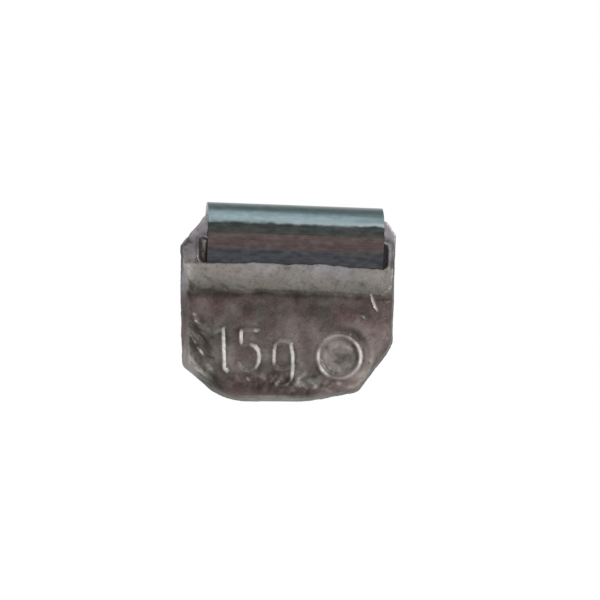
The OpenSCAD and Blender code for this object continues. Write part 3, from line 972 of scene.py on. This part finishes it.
def read_mask(tree, name):
    """The three masks of one attribute."""
    mask = add_node(tree, "ShaderNodeAttribute", attribute_name=name)
    return add_node(tree, "ShaderNodeSeparateColor", {"Color": mask.outputs["Color"]}).outputs


def lead_material():
    """Cast lead by the masks of its finish with painted light and shade, and of its tint, with fine patches, grain and
    specks over them.
    """
    material, tree, shader = new_material("cast_lead")
    place = add_node(tree, "ShaderNodeTexCoord").outputs["Object"]
    masks = {name: noise_of(tree, place, *settings) for name, settings in LEAD_NOISES.items()}
    masks["light"], masks["dark"], masks["shine"] = read_mask(tree, "finish")
    masks["warm"], masks["cool"], masks["green"] = read_mask(tree, "tint")

    tone = blend(tree, masks["patches"], *(colour(*end) for end in LEAD_DARK))
    tone = overlay(tree, tone, masks, LEAD_DARK_LAYERS)
    light = blend(tree, masks["patches"], *(colour(*end) for end in LEAD_LIGHT))
    light = overlay(tree, light, masks, LEAD_LIGHT_LAYERS)
    tone = overlay(tree, blend(tree, masks["light"], tone, light), masks, LEAD_TOP_LAYERS)
    feed(tree, shader["Base Color"], tone)
    feed(tree, shader["Roughness"], remap(tree, masks["patches"], 0.0, 1.0, *LEAD_ROUGHNESS))
    feed(tree, shader["Metallic"], LEAD_METALLIC)
    feed(tree, shader["Specular Tint"], LEAD_SPECULAR_TINT)
    bump = add_node(tree, "ShaderNodeBump", {"Height": masks["grain"], **LEAD_BUMP})
    feed(tree, shader["Normal"], bump.outputs[0])
    return material


def plating_colour(tree, height):
    """The painted reflection bands by height."""
    level = remap(tree, height, BANDS_LOW * MM, BANDS_HIGH * MM)
    ramp = add_node(tree, "ShaderNodeValToRGB", {"Fac": level})
    stops = ramp.color_ramp.elements
    for index, (band_z, tone) in enumerate(PLATING_BANDS):
        at = (band_z - BANDS_LOW) / (BANDS_HIGH - BANDS_LOW)
        stop = stops[index] if index < 2 else stops.new(at)
        stop.position = at
        stop.color = colour(*tone)
    return ramp.outputs["Color"]


def clip_material():
    """Plated spring steel: painted reflection bands in front, a plain back, paler cut ends with painted shade low down,
    and streaks along the strip.
    """
    material, tree, shader = new_material("spring_steel")
    coordinates = add_node(tree, "ShaderNodeTexCoord")
    place, normal = coordinates.outputs["Object"], coordinates.outputs["Normal"]
    _, place_y, place_z = add_node(tree, "ShaderNodeSeparateXYZ", {"Vector": place}).outputs
    normal_x = add_node(tree, "ShaderNodeSeparateXYZ", {"Vector": normal}).outputs["X"]
    masks = {name: noise_of(tree, place, *settings) for name, settings in STEEL_NOISES.items()}
    clouds, blots, streaks = masks["clouds"], masks["blots"], masks["streaks"]

    # The painted reflection bands, with wavering and ragged edges
    waver = times(tree, math_of(tree, "SUBTRACT", clouds, 0.5), BANDS_WAVER * MM)
    ragged = times(tree, math_of(tree, "SUBTRACT", blots, 0.5), BANDS_RAG * MM)
    height = math_of(tree, "ADD", math_of(tree, "ADD", place_z, waver), ragged)
    in_front = remap(tree, place_y, *(limit * MM for limit in IN_FRONT))
    plain = blend(tree, clouds, *(colour(*end) for end in PLAIN_STEEL))
    tone = blend(tree, in_front, plain, plating_colour(tree, height))

    # The cut ends, with painted shade where the casting shelters them
    cut = math_of(tree, "GREATER_THAN", math_of(tree, "ABSOLUTE", normal_x), CUT_FACING)
    sheltered = remap(tree, place_z, *(limit * MM for limit in CUT_SHELTERED))
    tone = blend(tree, cut, tone, blend(tree, sheltered, *(colour(*end) for end in CUT_STEEL)))

    highlight = remap(tree, height, HIGHLIGHT_GONE * MM, HIGHLIGHT_FULL * MM)
    highlight = times(tree, highlight, math_of(tree, "GREATER_THAN", height, HIGHLIGHT_STOP * MM))
    highlight = times(tree, highlight, times(tree, masks["gleam"], in_front))
    tone = blend(tree, times(tree, highlight, HIGHLIGHT_STRENGTH), tone, colour(*HIGHLIGHT_COLOUR))

    shown = math_of(tree, "MULTIPLY_ADD", in_front, 0.7, 0.3)
    pale, deep = times(tree, blots, 0.16), math_of(tree, "MULTIPLY_ADD", blots, -0.30, 0.30)
    tone = blend(tree, times(tree, pale, shown), tone, colour(*PALE_BLOTS))
    tone = blend(tree, times(tree, deep, shown), tone, colour(*DARK_BLOTS))
    tone = blend(tree, times(tree, streaks, 0.06), tone, colour(*FINE_STREAKS))
    feed(tree, shader["Base Color"], tone)

    # The strip's outer face, which looks away from the bend's centre, is streaked; its inner face is smooth
    facing = add_node(tree, "ShaderNodeVectorMath", {0: place, 1: normal}, operation="DOT_PRODUCT").outputs["Value"]
    fine = times(tree, streaks, math_of(tree, "GREATER_THAN", facing, 0.0))
    rough = remap(tree, fine, 0.0, 1.0, *STEEL_ROUGHNESS)
    feed(tree, shader["Roughness"], math_of(tree, "MAXIMUM", rough, times(tree, cut, CUT_ROUGHNESS)))
    feed(tree, shader["Metallic"], STEEL_METALLIC)
    bump = add_node(tree, "ShaderNodeBump", {"Height": fine, **STEEL_BUMP})
    feed(tree, shader["Normal"], bump.outputs[0])
    return material


# Pieces

WELD_DISTANCE = 1e-6
EDGE_WIDTH = 0.07 * MM
EDGE_ANGLE = math.radians(40)


def make_casting():
    mesh = even_mesh(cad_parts["weight_body"], VOXEL)
    finish, tint = shape_casting(mesh)
    mesh.transform(Matrix.Scale(MM, 4))
    mesh.name = "casting"
    store_mask(mesh, "finish", finish)
    store_mask(mesh, "tint", tint)
    mesh.materials.clear()
    mesh.materials.append(lead_material())
    casting = bpy.data.objects.new("casting", mesh)
    bpy.context.scene.collection.objects.link(casting)
    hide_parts("weight_body")
    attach(casting, "root")


def dress_clip():
    """The CAD clip itself, with its material and soft edges."""
    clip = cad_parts["clip"]
    clip.data.materials.clear()
    clip.data.materials.append(clip_material())
    clip.modifiers.new("weld", "WELD").merge_threshold = WELD_DISTANCE
    edge = clip.modifiers.new("soft_edge", "BEVEL")
    edge.width = EDGE_WIDTH
    edge.segments = 2
    edge.limit_method = "ANGLE"
    edge.angle_limit = EDGE_ANGLE


# Floor and light, in metres

FLOOR_Z = -0.055
FLOOR_SIZE = 1.2
FLOOR_COLOUR = (0.82, 0.82, 0.81, 1)
FLOOR_ROUGHNESS = 0.9
FLOOR_LIFT = 0.62
WHITE = (1, 1, 1, 1)

# Soft boxes: azimuth, elevation, distance in metres, width, height, watts, colour
SOFT_BOXES = {
    "overhead": (-8, 66, 0.42, 0.42, 0.30, 0.54, (1.0, 1.0, 1.0)),
    "right": (66, 28, 0.45, 0.10, 0.16, 0.95, (1.0, 0.99, 0.97)),
    "left": (-78, 12, 0.45, 0.14, 0.30, 0.14, (0.93, 0.93, 1.0)),
}
LIT_CENTRE = Vector((0, -0.003, -0.008))
FILL_STRENGTH = 0.56


def add_white_rays(tree, plain_strength):
    """Strength 1 for what the camera, gloss and glass see, plain_strength for the rest."""
    path = add_node(tree, "ShaderNodeLightPath").outputs
    seen = math_of(tree, "MAXIMUM", path["Is Camera Ray"], path["Is Glossy Ray"])
    seen = math_of(tree, "MAXIMUM", seen, path["Is Transmission Ray"])
    return remap(tree, seen, 0.0, 1.0, plain_strength, 1.0)


def make_world():
    world = bpy.data.worlds.new("studio")
    world.use_nodes = True
    tree = world.node_tree
    background = tree.nodes["Background"].inputs
    feed(tree, background["Color"], WHITE)
    feed(tree, background["Strength"], add_white_rays(tree, FILL_STRENGTH))
    bpy.context.scene.world = world


def make_floor():
    half = FLOOR_SIZE / 2
    corners = [(-half, -half, FLOOR_Z), (half, -half, FLOOR_Z), (half, half, FLOOR_Z), (-half, half, FLOOR_Z)]
    mesh = bpy.data.meshes.new("floor")
    mesh.from_pydata(corners, [], [(0, 1, 2, 3)])
    material, tree, shader = new_material("pale_floor")
    feed(tree, shader["Base Color"], FLOOR_COLOUR)
    feed(tree, shader["Roughness"], FLOOR_ROUGHNESS)
    feed(tree, shader["Emission Color"], WHITE)
    feed(tree, shader["Emission Strength"], times(tree, add_white_rays(tree, 0.0), FLOOR_LIFT))
    mesh.materials.append(material)
    floor = bpy.data.objects.new("floor", mesh)
    bpy.context.scene.collection.objects.link(floor)


def make_lamps():
    for name, (azimuth, elevation, distance, width, height, watts, tint) in SOFT_BOXES.items():
        towards = direction(azimuth, elevation)
        data = bpy.data.lights.new(name, "AREA")
        data.shape = "RECTANGLE"
        data.size, data.size_y = width, height
        data.energy = watts
        data.color = tint
        lamp = bpy.data.objects.new(name, data)
        lamp.rotation_mode = "QUATERNION"
        lamp.rotation_quaternion = towards.to_track_quat("Z", "Y")
        lamp.location = LIT_CENTRE + distance * towards
        lamp.visible_camera = False
        bpy.context.scene.collection.objects.link(lamp)


make_camera()
make_casting()
dress_clip()
make_world()
make_floor()
make_lamps()
bpy.context.scene.view_settings.view_transform = "Standard"
